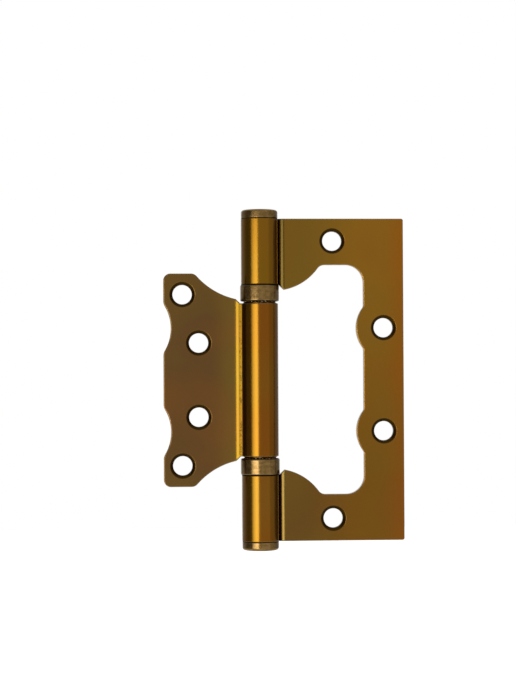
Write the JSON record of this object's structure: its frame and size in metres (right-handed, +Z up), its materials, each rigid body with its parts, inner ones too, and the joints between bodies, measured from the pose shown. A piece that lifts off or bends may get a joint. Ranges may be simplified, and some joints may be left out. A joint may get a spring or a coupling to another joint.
{
  "type": "surface-mounted door hinge",
  "caption": "Flat surface-mounted door hinge: a scalloped door leaf folds into a window in the frame leaf and turns on a pin between thrust ball bearings, in bronze-brown plated steel.",
  "frame": {"origin": "on the pin axis at the hinge's mid-height", "axes": "+Z up along the pin, +X the reach of the frame leaf, -Y the side the screws go in from; both leaves lie open flat on the plane of X and Z"},
  "size_m": [0.0747, 0.012, 0.1054],
  "materials": {
    "plated_sheet": "steel sheet with a smooth coffee-bronze plating, glossy",
    "turned_bronze": "turned steel with a bronze plating, fine satin turning marks",
    "bright_steel": "ground bearing steel, bare"
  },
  "bodies": {
    "frame_side": {"frame_leaf": "plated_sheet", "hinge_pin": "bright_steel", "upper_cap": "turned_bronze", "lower_cap": "turned_bronze", "upper_bearing_shell": "turned_bronze", "lower_bearing_shell": "turned_bronze", "upper_fixed_race": "bright_steel", "lower_fixed_race": "bright_steel"},
    "door_side": {"door_leaf": "plated_sheet", "upper_turning_race": "bright_steel", "lower_turning_race": "bright_steel"},
    "upper_ball_ring": {"upper_balls": "bright_steel"},
    "lower_ball_ring": {"lower_balls": "bright_steel"}
  },
  "joints": [
    {"name": "leaf_swing", "type": "hinge", "parent": "frame_side", "child": "door_side", "pos_m": [0, 0, 0], "axis": [0, 0, 1], "range_deg": [0, 180]},
    {"name": "upper_ball_roll", "type": "hinge", "parent": "frame_side", "child": "upper_ball_ring", "pos_m": [0, 0, 0.02432], "axis": [0, 0, 1], "range_deg": [0, 90]},
    {"name": "lower_ball_roll", "type": "hinge", "parent": "frame_side", "child": "lower_ball_ring", "pos_m": [0, 0, -0.02432], "axis": [0, 0, 1], "range_deg": [0, 90]}
  ],
  "couplings": [
    {"joint": "upper_ball_roll", "follows": "leaf_swing", "ratio": 0.5},
    {"joint": "lower_ball_roll", "follows": "leaf_swing", "ratio": 0.5}
  ]
}
